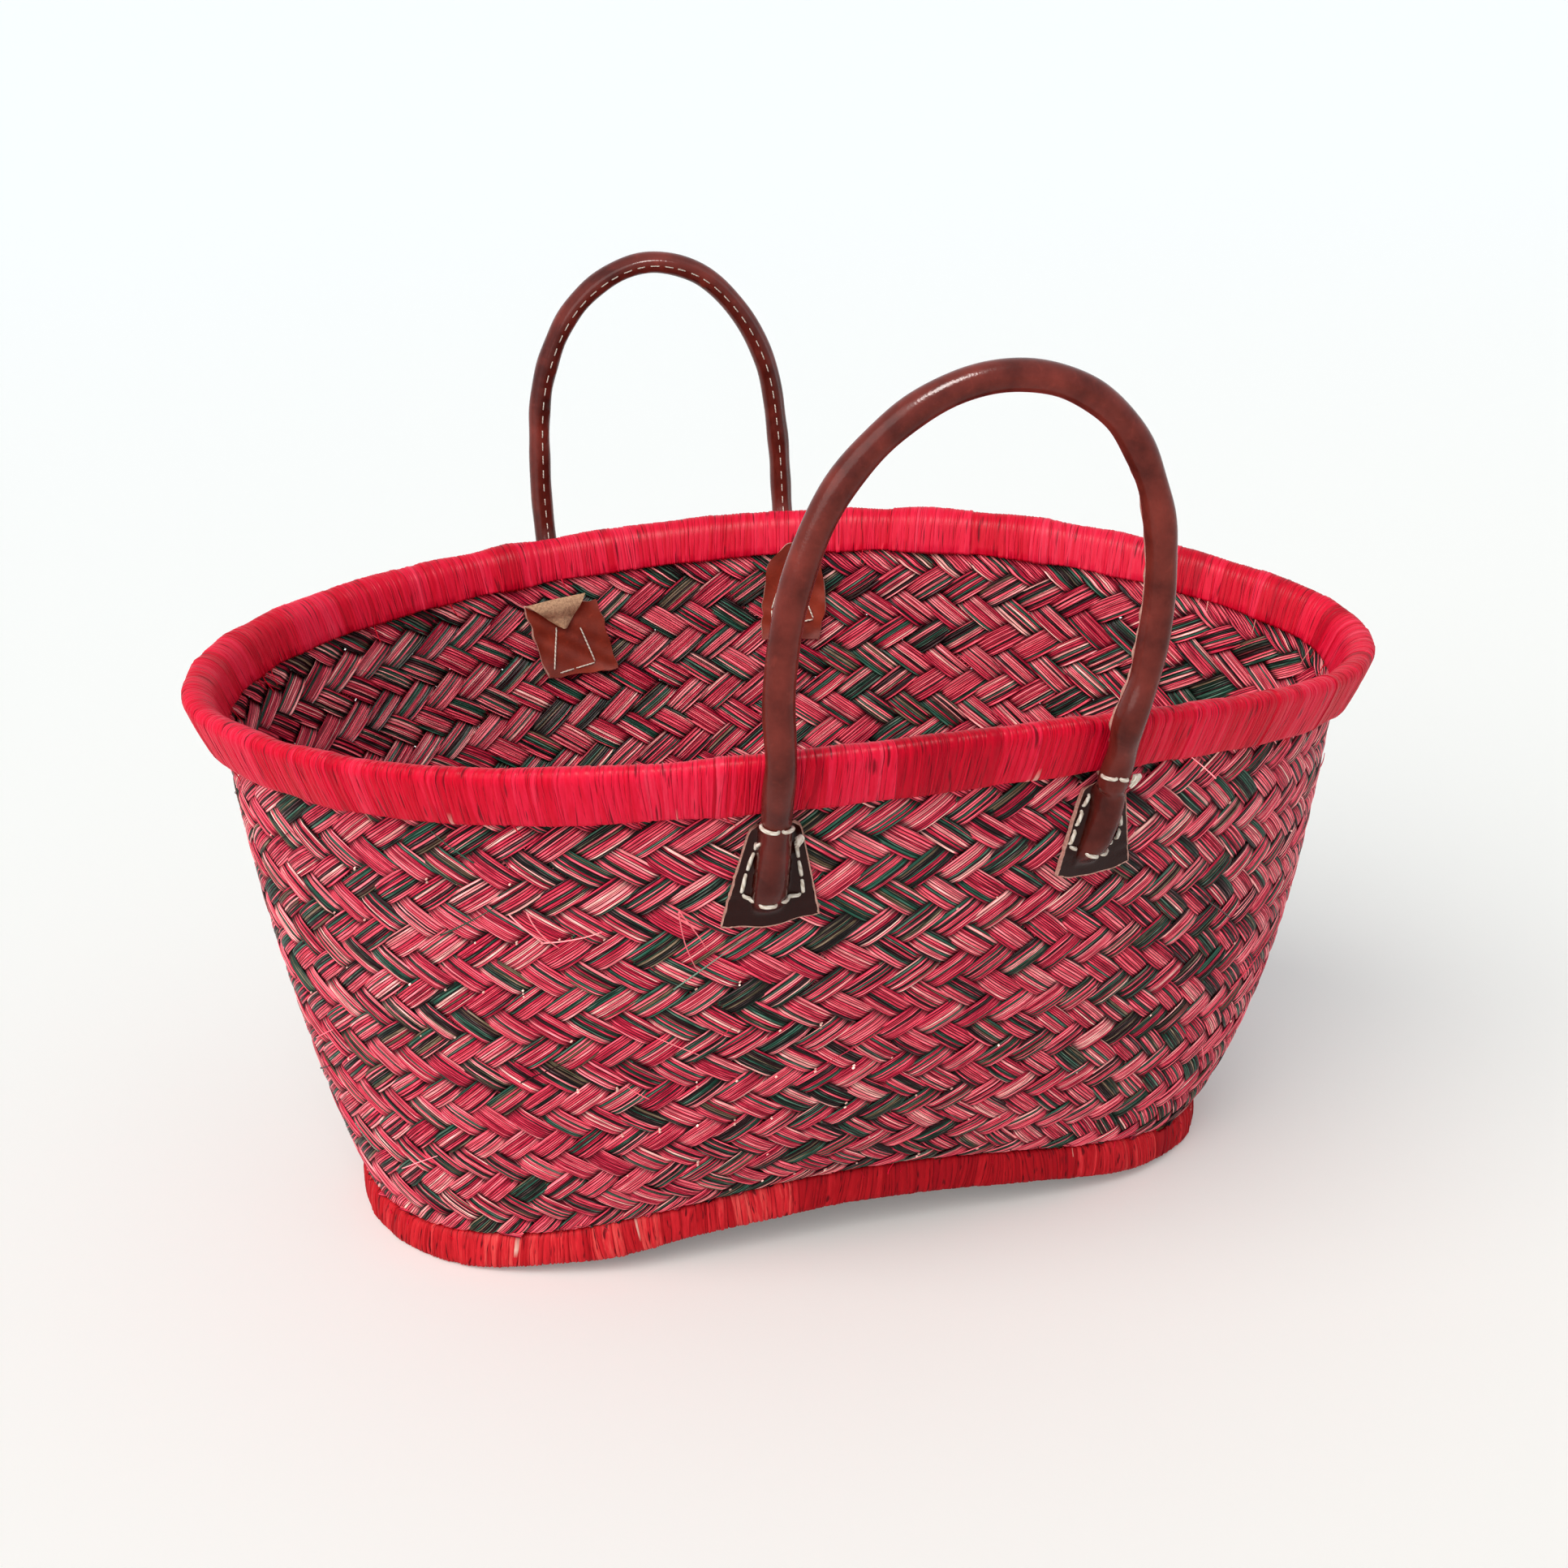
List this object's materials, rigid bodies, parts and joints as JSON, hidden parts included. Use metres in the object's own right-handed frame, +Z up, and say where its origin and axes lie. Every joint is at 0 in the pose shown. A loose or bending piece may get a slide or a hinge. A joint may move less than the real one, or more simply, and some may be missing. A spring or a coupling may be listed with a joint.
{
  "type": "woven basket",
  "caption": "Open oval plaited basket with a raffia-wrapped rim and foot and rolled-leather handles sewn through its long sides, for carrying and storing goods.",
  "frame": {"origin": "middle of the space the basket fills, seen from above, at the height of the ground it stands on", "axes": "+Z up, +X along the basket's length towards its more pointed end, -Y towards the front handle"},
  "size_m": [0.4896, 0.3617, 0.3696],
  "materials": {
    "plaited_fibre": "plaited strips of dyed palm-like stems, satin",
    "rim_raffia": "close-wound bright red raffia, slightly glossy",
    "foot_raffia": "close-wound red raffia, satin",
    "hoop_cane": "peeled bent cane",
    "handle_leather": "rolled red-brown leather, glossy",
    "tab_leather": "dark brown leather, satin",
    "patch_leather": "red-brown leather, satin",
    "cord": "twisted fibre cord",
    "thread": "heavy off-white waxed thread"
  },
  "bodies": {
    "basket": {"woven_body": "plaited_fibre", "rim_wrap": "rim_raffia", "foot_wrap": "foot_raffia", "rim_hoop_outer": "hoop_cane", "rim_hoop_inner": "hoop_cane", "foot_hoop": "hoop_cane", "front_left_tab": "tab_leather", "front_left_cord_end": "cord", "front_left_patch": "patch_leather", "front_left_stitching": "thread", "front_right_tab": "tab_leather", "front_right_cord_end": "cord", "front_right_patch": "patch_leather", "front_right_stitching": "thread", "back_left_tab": "tab_leather", "back_left_cord_end": "cord", "back_left_patch": "patch_leather", "back_left_stitching": "thread", "back_right_tab": "tab_leather", "back_right_cord_end": "cord", "back_right_patch": "patch_leather", "back_right_stitching": "thread"},
    "front_handle": {"front_handle_leather": "handle_leather", "front_handle_cord": "cord", "front_handle_seam": "thread"},
    "back_handle": {"back_handle_leather": "handle_leather", "back_handle_cord": "cord", "back_handle_seam": "thread"}
  },
  "joints": [
    {"name": "front_handle_swing", "type": "hinge", "parent": "basket", "child": "front_handle", "pos_m": [-0.00766, -0.17626, 0.23916], "axis": [1, 0.0009, -0.003], "range_deg": [-45, 120]},
    {"name": "back_handle_swing", "type": "hinge", "parent": "basket", "child": "back_handle", "pos_m": [-0.00607, 0.16579, 0.2335], "axis": [-0.9857, 0.1551, -0.0661], "range_deg": [-45, 120]}
  ]
}
